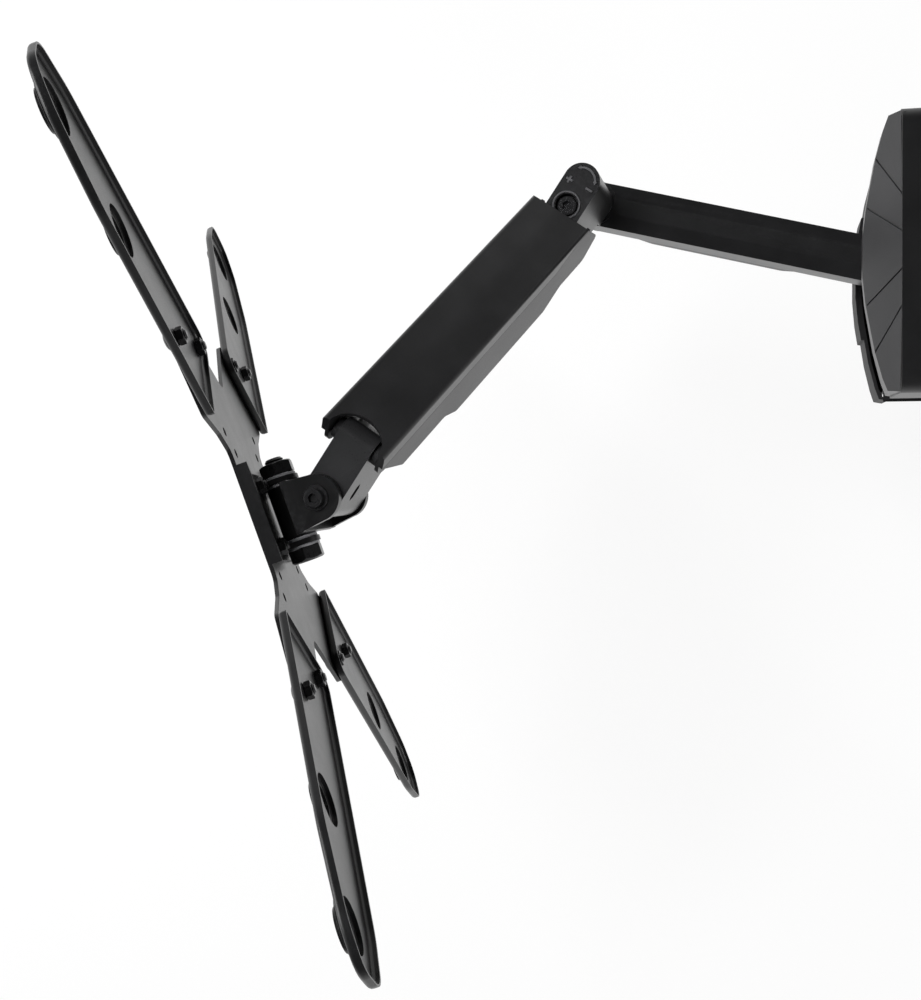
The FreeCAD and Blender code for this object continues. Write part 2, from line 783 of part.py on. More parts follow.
def gas_rod():
    half = rod_eye_width / 2
    inner = neck_length + cylinder_length - rod_in_cylinder
    rod = rod_x(rod_radius, inner, spring_length - rod_eye_hole - running_gap)
    eye = rod_y(rod_eye_radius, -half, half, spring_length)
    eye = eye.cut(rod_y(rod_eye_hole, -half, half, spring_length))
    hole = rod_y(rod_eye_hole, -rod_radius, rod_radius, spring_length)
    return rod.cut(hole).fuse(eye)


# Front link and swivel
def front_link():
    half = front_link_width / 2
    low = -pin_spacing - front_link_bottom
    side = [(-front_link_top, front_link_top, front_link_top - fit_gap),
            (-front_link_top, low, front_link_bottom - fit_gap),
            (front_link_reach + half, low, 0), (front_link_reach + half, front_link_top, 0)]
    plan = rod_z(half, low, front_link_top, front_link_reach).fuse(
        block(-front_link_top, front_link_reach, -half, half, low, front_link_top))
    link = plan.common(slab_y(side, -half, half))
    for z in (0, -pin_spacing):
        link = link.cut(rod_y(pin_radius, -half, half, 0, z))
    link = link.cut(rod_z(swivel_bush_radius, low, front_link_top, front_link_reach))
    long_half = side_recess_length / 2
    tall_half = side_recess_height / 2
    recess = [(side_recess_reach - long_half, -side_recess_drop, 0),
              (side_recess_reach - long_half + tall_half, -side_recess_drop - tall_half, 0),
              (side_recess_reach + long_half - tall_half, -side_recess_drop - tall_half, 0),
              (side_recess_reach + long_half, -side_recess_drop, 0),
              (side_recess_reach + long_half - tall_half, -side_recess_drop + tall_half, 0),
              (side_recess_reach - long_half + tall_half, -side_recess_drop + tall_half, 0)]
    for y0 in (-half, half - side_recess_depth):
        link = link.cut(slab_y(recess, y0, y0 + side_recess_depth))
    return link


def front_pins():
    low_reach = link_half_inside + link_wall
    return [rod_y(pin_radius, -arm_flange_half, arm_flange_half),
            rod_y(pin_radius, -low_reach, low_reach, 0, -pin_spacing)]


def swivel_bushes():
    bushes = []
    for side in (-1, 1):
        sleeve = rod_z(swivel_bush_radius, link_half_height - swivel_bush_length, link_half_height)
        flange = rod_z(swivel_bush_radius + swivel_bush_lip, link_half_height,
                       link_half_height + swivel_bush_flange)
        bush = sleeve.fuse(flange).cut(rod_z(swivel_radius + running_gap,
                                             link_half_height - swivel_bush_length,
                                             link_half_height + swivel_bush_flange))
        if side < 0:
            bush = bush.mirror(Vector(0, 0, 0), Vector(0, 0, 1))
        bushes.append(bush.translated(Vector(front_link_reach, 0, link_mid)))
    return bushes


# Swivel yoke
def swivel_yoke():
    web_far = yoke_web_near + yoke_web_thickness
    yoke = block(yoke_web_near, web_far, -yoke_half_width, yoke_half_width, -yoke_outside, yoke_outside)
    for z0 in (-yoke_outside, yoke_inside):
        ear = slab_z([(0, -yoke_ear_radius, 0), (web_far, -yoke_half_width, 3), (web_far, yoke_half_width, 3),
                      (0, yoke_ear_radius, 0)], z0, z0 + yoke_ear)
        yoke = yoke.fuse([ear, rod_z(yoke_ear_radius, z0, z0 + yoke_ear)])
    neck = block(yoke_web_near, yoke_reach, -yoke_half_width, yoke_half_width, -yoke_neck_half, yoke_neck_half)
    barrel = rod_y(yoke_barrel_radius, -yoke_half_width, yoke_half_width, yoke_reach)
    yoke = yoke.fuse([neck, barrel])
    yoke = yoke.cut(rod_y(tilt_radius + running_gap, -yoke_half_width, yoke_half_width, yoke_reach))
    return yoke.cut(rod_z(swivel_radius, -yoke_outside, yoke_outside))


def swivel_screw():
    seat = yoke_outside + swivel_washer_thickness
    tail = -yoke_outside - swivel_washer_thickness - swivel_nut_height - bolt_tail
    head = rod_z(swivel_head_radius, seat, seat + swivel_head_height)
    socket = hexagon(swivel_socket_flats, Vector(0, 0, seat + swivel_head_height), Vector(0, 0, -1),
                     swivel_socket_depth)
    return head.fuse(rod_z(swivel_radius, tail, seat)).cut(socket)


def swivel_washers():
    washers = []
    for z0 in (yoke_outside, -yoke_outside - swivel_washer_thickness):
        ring = rod_z(swivel_washer_radius, z0, z0 + swivel_washer_thickness)
        washers.append(ring.cut(rod_z(swivel_radius, z0, z0 + swivel_washer_thickness)))
    return washers


def swivel_nut():
    top = -yoke_outside - swivel_washer_thickness
    nut = hexagon(swivel_nut_flats, Vector(0, 0, top), Vector(0, 0, -1), swivel_nut_height)
    return nut.cut(rod_z(swivel_radius, top - swivel_nut_height, top))


# Screen plate: X points at the screen, Y along the plate, Z up the plate
def tilt_bracket():
    near = plate_out - tilt_base
    bracket = slab_x(rectangle(tilt_base_half_width, tilt_base_half_height, 4), near, plate_out)
    for y0 in (-tilt_ear_outside, tilt_ear_inside):
        ear = block(0, plate_out, y0, y0 + tilt_ear, -tilt_ear_radius, tilt_ear_radius)
        bracket = bracket.fuse([ear, rod_y(tilt_ear_radius, y0, y0 + tilt_ear)])
        bracket = bracket.cut(rod_y(tilt_radius, y0, y0 + tilt_ear))
    for y, z in four_corners(bracket_bolt_u, bracket_bolt_w):
        bracket = bracket.cut(rod_x(bracket_bolt_radius, near, plate_out, y, z))
    return bracket


def four_corners(half_u, half_w):
    return [(u, w) for u in (-half_u, half_u) for w in (-half_w, half_w)]


def tilt_washers():
    washers = []
    for y0, thickness in ((yoke_half_width + thrust_gap, tilt_washer), (tilt_ear_outside, tilt_outer_washer)):
        for start in (y0, -y0 - thickness):
            ring = rod_y(tilt_washer_radius, start, start + thickness)
            washers.append(ring.cut(rod_y(tilt_radius, start, start + thickness)))
    return washers


def tilt_bolt():
    seat = tilt_ear_outside + tilt_outer_washer
    head = hexagon(tilt_flats, Vector(0, seat, 0), Vector(0, 1, 0), tilt_head_height)
    return head.fuse(rod_y(tilt_radius, -seat - nut_height - bolt_tail, seat))


def tilt_nut():
    seat = -tilt_ear_outside - tilt_outer_washer
    nut = hexagon(tilt_flats, Vector(0, seat, 0), Vector(0, -1, 0), nut_height)
    return nut.cut(rod_y(tilt_radius, seat - nut_height, seat))


def domed_bolt(y, z, tail):
    face = plate_out + plate_thickness
    ball = (dome_radius ** 2 + dome_height ** 2) / (2 * dome_height)
    dome = Part.makeSphere(ball, Vector(face + dome_height - ball, y, z))
    dome = dome.common(block(face, face + ball, y - ball, y + ball, z - ball, z + ball))
    return dome.fuse(rod_x(bracket_bolt_radius, tail, face, y, z))


def small_nut(y, z, seat):
    nut = hexagon(small_nut_flats, Vector(seat, y, z), Vector(-1, 0, 0), small_nut_height)
    return nut.cut(rod_x(bracket_bolt_radius, seat - small_nut_height, seat, y, z))


def bracket_bolts():
    tail = plate_out - tilt_base - small_nut_height - small_tail
    return [domed_bolt(y, z, tail) for y, z in four_corners(bracket_bolt_u, bracket_bolt_w)]


def bracket_nuts():
    seat = plate_out - tilt_base
    return [small_nut(y, z, seat) for y, z in four_corners(bracket_bolt_u, bracket_bolt_w)]


def arm_bolts():
    tail = blade_back - small_nut_height - small_tail
    return [domed_bolt(y, z, tail) for w in arm_bolt_w for y, z in four_corners(arm_bolt_u, w)]


def arm_nuts():
    return [small_nut(y, z, blade_back) for w in arm_bolt_w for y, z in four_corners(arm_bolt_u, w)]


def center_plate():
    radius = plate_corner
    quarter = [(plate_waist_half, plate_waist_rise, radius), (plate_neck, plate_neck_rise, radius),
               (plate_shoulder, plate_shoulder_rise, radius),
               (plate_tip_inner, plate_tip_rise, radius), (plate_tip_reach, plate_tip_rise, radius * 2),
               (plate_tip_reach, plate_tip_low, radius), (plate_notch_reach, 0, radius)]
    right = quarter + [(u, -w, r) for u, w, r in reversed(quarter[:-1])]
    left = [(-u, -w, r) for u, w, r in right]
    plate = slab_x(right[::-1] + left[::-1], plate_out, plate_out + plate_thickness)
    for side in (-1, 1):
        z0 = plate_waist_rise - plate_thickness if side > 0 else -plate_waist_rise
        lip_half = plate_waist_half - plate_corner
        lip = block(plate_out - plate_lip, plate_out + plate_thickness, -lip_half, lip_half,
                    z0, z0 + plate_thickness)
        plate = plate.fuse(lip)
    on_plate = plate_frame.inverse().multiply(level_frame).inverse()
    for y, z in four_corners(bracket_bolt_u, bracket_bolt_w):
        place = on_plate.multVec(Vector(0, y, z))
        plate = plate.cut(plate_hole(bracket_bolt_radius, place.y, place.z))
    for w in arm_bolt_w:
        for y, z in four_corners(arm_bolt_u, w):
            plate = plate.cut(plate_hole(bracket_bolt_radius, y, z))
    for pitch in vesa_small:
        for y, z in four_corners(pitch / 2, pitch / 2):
            plate = plate.cut(plate_hole(vesa_small_radius, y, z))
    return plate


def plate_hole(radius, y, z):
    return rod_x(radius, plate_out, plate_out + plate_thickness, y, z)


def adapter_arm(side_u, side_w):
    # A leaf-shaped tray: its web lies on the plate and its rim stands up all round on the wall side
    corners = blade_outline if side_u * side_w > 0 else blade_outline[::-1]
    corners = [(side_u * y, side_w * z, r) for y, z, r in corners]
    inside = []
    for k, (y, z, r) in enumerate(corners):
        before = Vector(*corners[k - 1][:2], 0)
        here = Vector(y, z, 0)
        after = Vector(*corners[(k + 1) % len(corners)][:2], 0)
        ahead = (after - here).normalize()
        behind = (before - here).normalize()
        inward = (ahead + behind).normalize()
        moved_in = here + inward * (blade_sheet / ahead.cross(inward).Length)
        inside.append((moved_in.x, moved_in.y, max(r - blade_sheet, 0.5)))
    arm = slab_x(corners, rim_back, plate_out).cut(slab_x(inside, rim_back, blade_back))
    web = plate_out
    for pitch in vesa_large:
        y = side_u * pitch / 2
        z = side_w * pitch / 2
        arm = arm.fuse([rod_x(pad_radius, blade_back, web + pad_step, y, z),
                        rod_x(pad_top_radius, blade_back, web + pad_step * 2, y, z)])
        arm = arm.cut(rod_x(pad_radius - blade_sheet, rim_back, blade_back + pad_step, y, z))
        arm = arm.cut(rod_x(pad_top_radius - blade_sheet, rim_back, blade_back + pad_step * 2, y, z))
        arm = arm.cut(rod_x(vesa_large_radius, rim_back, web + pad_step * 2, y, z))
    for w in arm_bolt_w:
        arm = arm.cut(rod_x(bracket_bolt_radius, rim_back, plate_out, side_u * arm_bolt_u, side_w * w))
    return arm


def main():
    os.makedirs("parts", exist_ok=True)
    export("wall_plate", [wall_plate()])
    export("pivot_bracket", [pivot_bracket()])
    export("base_housing", [base_housing()])
    export("front_cover_upper", [front_cover_upper()])
    export("front_cover_lower", [front_cover_lower()])
    export("wall_pivot_bolt", [wall_pivot_bolt()])
    export("wall_pivot_nut", [wall_pivot_nut()])

    export("lower_arm", [lower_arm()], lower_frame)
    export("wall_pivot_bushes", pivot_bushes(0), lower_frame)
    export("elbow_bushes", pivot_bushes(lower_arm_length), lower_frame)
    export("lower_arm_cable_cover", [lower_arm_cable_cover()], lower_frame)

    export("elbow_knuckle", [elbow_knuckle()], knuckle_frame)
    export("elbow_pivot_bolt", [elbow_pivot_bolt()], knuckle_frame)
    export("elbow_washer", [elbow_washer()], knuckle_frame)
    export("rear_pins", rear_pins(), knuckle_frame)
    export("rear_bushes", spacer_bushes(knuckle_half, pin_reach, upper_pin_height), knuckle_frame)
    export("adjuster_nut", [adjuster_nut()], knuckle_frame)
    export("spring_rear_pin", [spring_rear_pin()], knuckle_frame)
    export("adjuster_screw", [adjuster_screw()], knuckle_frame)

    export("spring_arm_channel", [spring_arm_channel()], spring_frame)
    export("spring_arm_cable_cover", [spring_arm_cable_cover()], spring_frame)
    export("spring_front_pin", [spring_front_pin()], spring_frame)
    export("lower_link", [lower_link()], rear_low_frame)
    export("gas_cylinder", [gas_cylinder()], gas_frame)
    export("gas_rod", [gas_rod()], gas_frame)

    export("front_link", [front_link()], front_frame)
    export("front_pins", front_pins(), front_frame)
    export("front_bushes", spacer_bushes(front_link_width / 2, 0, 0), front_frame)
    export("swivel_bushes", swivel_bushes(), front_frame)

    export("swivel_yoke", [swivel_yoke()], yoke_frame)
    export("swivel_screw", [swivel_screw()], yoke_frame)
    export("swivel_washers", swivel_washers(), yoke_frame)
    export("swivel_nut", [swivel_nut()], yoke_frame)

    export("tilt_bracket", [tilt_bracket()], plate_frame)
    export("tilt_washers", tilt_washers(), plate_frame)
    export("tilt_bolt", [tilt_bolt()], plate_frame)
    export("tilt_nut", [tilt_nut()], plate_frame)
    export("bracket_bolts", bracket_bolts(), plate_frame)
    export("bracket_nuts", bracket_nuts(), plate_frame)
    export("center_plate", [center_plate()], level_frame)
    for name, side_u, side_w in (("adapter_arm_upper_right", 1, 1), ("adapter_arm_upper_left", -1, 1),
                                 ("adapter_arm_lower_right", 1, -1), ("adapter_arm_lower_left", -1, -1)):
        export(name, [adapter_arm(side_u, side_w)], level_frame)
    export("arm_bolts", arm_bolts(), level_frame)
    export("arm_nuts", arm_nuts(), level_frame)


main()
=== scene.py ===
import json
import math

import bpy
from mathutils import Matrix, Vector


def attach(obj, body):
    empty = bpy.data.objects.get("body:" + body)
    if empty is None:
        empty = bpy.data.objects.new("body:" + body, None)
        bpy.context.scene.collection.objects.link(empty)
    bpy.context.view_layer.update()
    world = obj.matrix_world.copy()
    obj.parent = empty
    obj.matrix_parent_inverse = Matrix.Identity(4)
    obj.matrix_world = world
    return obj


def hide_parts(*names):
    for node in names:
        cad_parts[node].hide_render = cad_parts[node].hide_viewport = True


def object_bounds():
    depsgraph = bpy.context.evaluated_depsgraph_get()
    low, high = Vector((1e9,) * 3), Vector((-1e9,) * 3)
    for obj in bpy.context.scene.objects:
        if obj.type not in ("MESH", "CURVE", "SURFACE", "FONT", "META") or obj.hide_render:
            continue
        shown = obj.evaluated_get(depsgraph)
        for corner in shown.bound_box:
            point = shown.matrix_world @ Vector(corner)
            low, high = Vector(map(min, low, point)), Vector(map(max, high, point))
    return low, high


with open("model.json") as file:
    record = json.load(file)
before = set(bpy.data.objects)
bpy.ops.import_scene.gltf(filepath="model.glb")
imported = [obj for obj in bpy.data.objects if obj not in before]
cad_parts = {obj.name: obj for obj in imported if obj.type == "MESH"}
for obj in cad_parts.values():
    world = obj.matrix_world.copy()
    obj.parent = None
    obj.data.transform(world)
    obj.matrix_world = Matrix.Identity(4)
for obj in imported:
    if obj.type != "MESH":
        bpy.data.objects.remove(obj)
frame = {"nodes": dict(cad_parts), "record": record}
nodes = frame["nodes"]
bodyOf = {node: body for body, members in frame["record"]["behaviour"]["bodies"].items() for node in members}
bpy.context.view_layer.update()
mm = 0.001
print("frame loaded:", len(nodes), "nodes")


class Wire:
    # a socket that takes + - * and turns them into Math nodes
    def __init__(self, board, socket):
        self.board = board
        self.socket = socket

    def calc(self, operation, first, second):
        return self.board.add("ShaderNodeMath", {"operation": operation}, {0: first, 1: second})

    def __add__(self, other):
        return self.calc("ADD", self, other)

    def __radd__(self, other):
        return self.calc("ADD", other, self)

    def __sub__(self, other):
        return self.calc("SUBTRACT", self, other)

    def __rsub__(self, other):
        return self.calc("SUBTRACT", other, self)

    def __mul__(self, other):
        return self.calc("MULTIPLY", self, other)

    def __rmul__(self, other):
        return self.calc("MULTIPLY", other, self)

    def larger(self, other):
        return self.calc("MAXIMUM", self, other)

    def clip(self, low, high):
        return self.board.add("ShaderNodeMapRange", {"clamp": True},
                              {"Value": self, "From Min": low, "From Max": high})


class Board:
    # the nodes of one material or of the world
    def __init__(self, owner):
        self.owner = owner
        owner.use_nodes = True
        self.tree = owner.node_tree
        self.tree.nodes.clear()

    def add(self, kind, settings=None, inputs=None, output=0):
        node = self.tree.nodes.new(kind)
        for key, value in (settings or {}).items():
            setattr(node, key, value)
        for key, value in (inputs or {}).items():
            if isinstance(value, Wire):
                self.tree.links.new(value.socket, node.inputs[key])
            else:
                node.inputs[key].default_value = value
        return Wire(self, node.outputs[output]) if node.outputs else None


def grey(level, tint=0.05):
    return (level, level, level * (1 + tint), 1)


coatLook = {  # fine textured powder coat on pressed steel
    "dark": 0.006, "light": 0.012, "roughness": 0.33, "roughSpread": 0.10,
    "grainSize": 0.55, "grainDepth": 0.05, "blotchSize": 18.0, "wear": 0.05, "metallic": 0.0,
}
castLook = {  # smoother satin coat on castings
    "dark": 0.010, "light": 0.018, "roughness": 0.34, "roughSpread": 0.08,
    "grainSize": 0.8, "grainDepth": 0.03, "blotchSize": 24.0, "wear": 0.03, "metallic": 0.0,
}
plasticLook = {  # moulded cable covers with a spark-eroded grain
    "dark": 0.016, "light": 0.024, "roughness": 0.42, "roughSpread": 0.08,
    "grainSize": 0.45, "grainDepth": 0.06, "blotchSize": 30.0, "wear": 0.02, "metallic": 0.0,
}
hoodSheenLook = {  # satin hood of the wall unit, its grey lighter than the housing's: a painted sheen for the light its facets catch
    "dark": 0.030, "light": 0.042, "roughness": 0.38, "roughSpread": 0.08,
    "grainSize": 0.5, "grainDepth": 0.04, "blotchSize": 34.0, "wear": 0.0, "metallic": 0.0,
}
shadeLook = {  # duller plastic of the lower cover
    "dark": 0.012, "light": 0.018, "roughness": 0.64, "roughSpread": 0.06,
    "grainSize": 0.45, "grainDepth": 0.06, "blotchSize": 30.0, "wear": 0.0, "metallic": 0.0,
}
markLook = {  # rubbed coat on the raised marks
    "dark": 0.075, "light": 0.115, "roughness": 0.30, "roughSpread": 0.08,
    "grainSize": 0.8, "grainDepth": 0.02, "blotchSize": 6.0, "wear": 0.2, "metallic": 0.2,
}
housingLook = {  # blacker box behind the hood
    "dark": 0.008, "light": 0.012, "roughness": 0.40, "roughSpread": 0.08,
    "grainSize": 0.45, "grainDepth": 0.05, "blotchSize": 30.0, "wear": 0.03, "metallic": 0.0,
}
linkSheenLook = {  # satin coat of the front link, lighter than the other coat: a painted sheen for the light its top reflects
    "dark": 0.016, "light": 0.024, "roughness": 0.30, "roughSpread": 0.06,
    "grainSize": 0.8, "grainDepth": 0.006, "blotchSize": 24.0, "wear": 0.03, "metallic": 0.0,
}
fastenerLook = {  # black zinc on screws, nuts and pins
    "dark": 0.018, "light": 0.040, "roughness": 0.30, "roughSpread": 0.14,
    "grainSize": 0.35, "grainDepth": 0.02, "blotchSize": 4.0, "wear": 0.16, "metallic": 0.6,
}
bearingLook = {  # pale nylon bushes and thrust washers
    "dark": 0.30, "light": 0.36, "roughness": 0.42, "roughSpread": 0.06,
    "grainSize": 0.5, "grainDepth": 0.02, "blotchSize": 9.0, "wear": 0.0, "metallic": 0.0,
}
screwLook = {  # oiled dark steel of the adjuster
    "dark": 0.10, "light": 0.17, "roughness": 0.26, "roughSpread": 0.12,
    "grainSize": 0.3, "grainDepth": 0.01, "blotchSize": 4.0, "wear": 0.2, "metallic": 0.9,
}
rodLook = {  # hard chromed gas spring rod
    "dark": 0.52, "light": 0.60, "roughness": 0.14, "roughSpread": 0.06,
    "grainSize": 0.2, "grainDepth": 0.004, "blotchSize": 6.0, "wear": 0.0, "metallic": 1.0,
}


patina = {  # what the finishes share: ranges and shares of the noises, and the grey under rubbed edges
    "blotchRange": (0.3, 0.7), "blotchShare": 0.7, "blotchDetail": 4.0,
    "grainRange": (0.35, 0.65), "grainShare": 0.3, "grainDetail": 2.0, "grainRough": 0.12, "grainBump": 0.55,
    "scuffSize": 3.1, "scuffRange": (0.45, 0.62), "scuffDetail": 6.0, "scuffRough": 0.7,
    "edgeRange": (0.53, 0.62), "bareGrey": 0.22, "middle": 0.5,
}


def noise(place, size, detail, roughness=0.5):
    return place.board.add("ShaderNodeTexNoise", {}, {
        "Vector": place, "Scale": 1 / (size * mm), "Detail": detail, "Roughness": roughness})


def mixColours(board, share, first, second):
    # the Mix node's colour sockets go by number, as they share their names with others
    return board.add("ShaderNodeMix", {"data_type": "RGBA"}, {0: share, 6: first, 7: second}, output=2)


def makeFinish(name, look):
    board = Board(bpy.data.materials.new(name))
    place = board.add("ShaderNodeTexCoord", output="Object")
    grain = noise(place, look["grainSize"], patina["grainDetail"])
    blotch = noise(place, look["blotchSize"], patina["blotchDetail"])
    shade = (blotch.clip(*patina["blotchRange"]) * patina["blotchShare"]
             + grain.clip(*patina["grainRange"]) * patina["grainShare"])
    base = mixColours(board, shade, grey(look["dark"]), grey(look["light"]))
    if look["wear"] > 0:  # coat rubbed thin along outer edges
        scuff = noise(place, patina["scuffSize"], patina["scuffDetail"], patina["scuffRough"])
        edge = board.add("ShaderNodeNewGeometry", output="Pointiness").clip(*patina["edgeRange"])
        rubbed = edge * scuff.clip(*patina["scuffRange"]) * look["wear"]
        base = mixColours(board, rubbed, base, grey(patina["bareGrey"]))
    rough = (look["roughness"] + (blotch - patina["middle"]) * look["roughSpread"]
             + (grain - patina["middle"]) * patina["grainRough"])
    bump = board.add("ShaderNodeBump", {}, {
        "Strength": patina["grainBump"], "Distance": look["grainDepth"] * mm, "Height": grain})
    shader = board.add("ShaderNodeBsdfPrincipled", {}, {
        "Base Color": base, "Roughness": rough, "Metallic": look["metallic"], "Normal": bump})
    board.add("ShaderNodeOutputMaterial", {}, {"Surface": shader})
    return board.owner


finishes = {
    "coat": makeFinish("blackPowderCoat", coatLook),
    "cast": makeFinish("blackSatinCoat", castLook),
    "plastic": makeFinish("blackMouldedPlastic", plasticLook),
    "hood": makeFinish("hoodPlasticPaintedSheen", hoodSheenLook),
    "housing": makeFinish("blackHousingPlastic", housingLook),
    "link": makeFinish("linkCoatPaintedSheen", linkSheenLook),
    "shade": makeFinish("dullPlastic", shadeLook),
    "mark": makeFinish("rubbedCoat", markLook),
    "fastener": makeFinish("blackZinc", fastenerLook),
    "bearing": makeFinish("paleNylon", bearingLook),
    "screw": makeFinish("darkSteel", screwLook),
    "rod": makeFinish("chromedRod", rodLook),
}
print("finishes made:", len(finishes))


def deselect():
    if bpy.context.object and bpy.context.object.mode != "OBJECT":
        bpy.ops.object.mode_set(mode="OBJECT")
    bpy.ops.object.select_all(action="DESELECT")


def activate(piece):
    deselect()
    piece.select_set(True)
    bpy.context.view_layer.objects.active = piece


def dress(piece, finish):
    piece.data.materials.clear()
    piece.data.materials.append(finishes[finish])


def smooth(piece, angle):
    # smooth curves, with the shading of flat faces kept flat
    activate(piece)
    bpy.ops.object.shade_smooth_by_angle(angle=math.radians(angle))
    even = piece.modifiers.new("even", "WEIGHTED_NORMAL")
    even.mode = "FACE_AREA"
    even.keep_sharp = True
    bpy.ops.object.modifier_apply(modifier="even")


def bevelEdges(piece, width, segments, angle):
    activate(piece)
    rounding = piece.modifiers.new("rounding", "BEVEL")
    rounding.width = width * mm
    rounding.segments = segments
    rounding.limit_method = "ANGLE"
    rounding.angle_limit = math.radians(angle)
    rounding.miter_outer = "MITER_ARC"
    rounding.loop_slide = False
    bpy.ops.object.modifier_apply(modifier="rounding")


def finishEdges(piece, edges, finish):
    bevelEdges(piece, edges["width"], edges["segments"], edges["bevelFrom"])
    smooth(piece, edges["smoothTo"])
    dress(piece, finish)


def settle():
    # place, turn and size of what is selected go into its mesh
    bpy.ops.object.transform_apply(location=True, rotation=True, scale=True)


def openMesh(piece, action="SELECT"):
    activate(piece)
    bpy.ops.object.mode_set(mode="EDIT")
    bpy.ops.mesh.select_all(action=action)


def closeMesh():
    bpy.ops.object.mode_set(mode="OBJECT")


def faceOutwards():
    # normals of the open mesh, which is then closed
    bpy.ops.mesh.select_all(action="SELECT")
    bpy.ops.mesh.normals_make_consistent(inside=False)
    closeMesh()


def addBlock(sizes, place=(0, 0, 0)):
    # a box to work on, size and place in mm
    deselect()
    bpy.ops.mesh.primitive_cube_add(size=1)
    block = bpy.context.object
    block.scale = [size * mm for size in sizes]
    block.location = Vector(place) * mm
    settle()
    return block


blades = ["adapter_arm_" + corner for corner in ("upper_right", "upper_left", "lower_right", "lower_left")]
softEdges = {  # finish, edge radius in mm and segments of each CAD piece that is shown with rounded edges
    "wall_plate": ("coat", 0.5, 2), "pivot_bracket": ("coat", 0.8, 2),
    "base_housing": ("housing", 1.2, 3), "front_cover_upper": ("hood", 0.7, 3),
    "front_cover_lower": ("shade", 0.7, 3), "wall_pivot_bolt": ("fastener", 0.8, 2),
    "lower_arm": ("cast", 1.0, 3), "lower_arm_cable_cover": ("plastic", 0.7, 3),
    "elbow_knuckle": ("cast", 0.8, 3), "elbow_washer": ("fastener", 0.3, 2),
    "rear_pins": ("fastener", 0.4, 2), "spring_rear_pin": ("fastener", 0.4, 2),
    "adjuster_nut": ("fastener", 0.5, 2),
    "spring_arm_channel": ("cast", 0.7, 3), "spring_arm_cable_cover": ("plastic", 0.6, 3),
    "spring_front_pin": ("fastener", 0.4, 2), "lower_link": ("coat", 0.5, 2),
    "gas_cylinder": ("coat", 0.8, 3), "gas_rod": ("rod", 0.4, 2),
    "front_link": ("link", 0.9, 3), "front_pins": ("fastener", 0.4, 2),
    "swivel_yoke": ("coat", 0.9, 3), "swivel_washers": ("fastener", 0.3, 2),
    "tilt_bracket": ("coat", 0.6, 2), "tilt_washers": ("bearing", 0.4, 2), "center_plate": ("coat", 0.5, 2),
    **{blade: ("coat", 0.4, 2) for blade in blades},
    "wall_pivot_bushes": ("bearing", 0.3, 2), "elbow_bushes": ("bearing", 0.3, 2),
    "rear_bushes": ("plastic", 0.3, 2), "front_bushes": ("plastic", 0.3, 2),
    "swivel_bushes": ("bearing", 0.3, 2),
}
solidEdges = {  # angles in degrees, and mm between doubles
    "bevelFrom": 32, "smoothTo": 38, "onePlane": 0.4, "merge": 0.002,
}

turns = {  # rest angles in degrees, places in mm
    "lowerArm": -14.0, "springArm": 56.0, "lift": 37.8, "facing": 20.1, "tilt": 11.8, "level": -2.2,
    "plateShift": -3.6, "pinReach": 32.0, "pinHeight": 79.3, "webReach": 14.0,
}
pivots = {joint["name"]: Vector(joint["pos_m"])
          for joint in frame["record"]["behaviour"]["joints"] if joint.get("pos_m")}


def spun(degrees, axis):
    return Matrix.Rotation(math.radians(degrees), 4, axis)


def shifted(x, y, z):
    return Matrix.Translation(Vector((x, y, z)) * mm)


# the frames that pieces are set in, as the CAD has them
lowerSpace = Matrix.Translation(pivots["wall_swivel"]) @ spun(turns["lowerArm"] - 90, "Z")
wallSpace = Matrix.Translation(pivots["wall_swivel"])
knuckleSpace = Matrix.Translation(pivots["elbow_swivel"]) @ spun(turns["springArm"] - 90, "Z")
yokeSpace = Matrix.Translation(pivots["head_swivel"]) @ spun(turns["facing"] - 90, "Z")
plateSpace = (Matrix.Translation(pivots["head_tilt"])
              @ spun(turns["facing"] - 90, "Z") @ spun(-turns["tilt"], "Y"))
springSpace = knuckleSpace @ shifted(turns["pinReach"], 0, turns["pinHeight"]) @ spun(-turns["lift"], "Y")
levelSpace = plateSpace @ shifted(0, turns["plateShift"], 0) @ spun(turns["level"], "X")
unitSpace = Matrix.Identity(4)
webSpace = levelSpace @ shifted(turns["webReach"], 0, 0)
toWeb = webSpace.inverted()

reshapes = {  # frame and stretch of pieces that the photograph shows a little narrower, wider or thinner
    **{node: (lowerSpace, (1, 1.05, 1)) for node in ("lower_arm", "lower_arm_cable_cover")},
    **{node: (springSpace, (1, 1.03, 1)) for node in ("spring_arm_channel", "spring_arm_cable_cover")},
    **{node: (unitSpace, (0.9886, 1, 0.9905)) for node in ("front_cover_upper", "front_cover_lower")},
    **{node: (webSpace, (0.72, 1, 1)) for node in blades},
}


def carve(piece, tool, operation="DIFFERENCE"):
    activate(piece)
    cut = piece.modifiers.new("cut", "BOOLEAN")
    cut.operation = operation
    cut.solver = "EXACT"
    cut.object = tool
    bpy.ops.object.modifier_apply(modifier="cut")
    bpy.data.objects.remove(tool)
    return piece


hoodCreases = {  # mm: grooves along the facets' creases, from the seam to the lip, on both sides
    "runs": (((12.0, -51.6, 103.9), (30.0, -69.5, 77.0)), ((34.6, -51.6, 102.7), (60.4, -65.3, 80.9))),
    "facing": (0.0, -0.826, 0.563), "wide": 1.1, "deep": 1.0, "past": 1.5,
}


def creaseHood(piece):
    up = Vector(hoodCreases["facing"]).normalized()
    for rear, front in hoodCreases["runs"]:
        for side in (-1, 1):
            start, end = (Vector((side * spot[0], spot[1], spot[2])) for spot in (rear, front))
            along = (end - start).normalized()
            across = up.cross(along).normalized()
            bar = addBlock(((end - start).length + 2 * hoodCreases["past"], hoodCreases["wide"],
                            2 * hoodCreases["deep"]))
            bar.matrix_world = (Matrix.Translation((start + end) / 2 * mm)
                                @ Matrix((along, across, along.cross(across))).transposed().to_4x4())
            settle()
            carve(piece, bar)


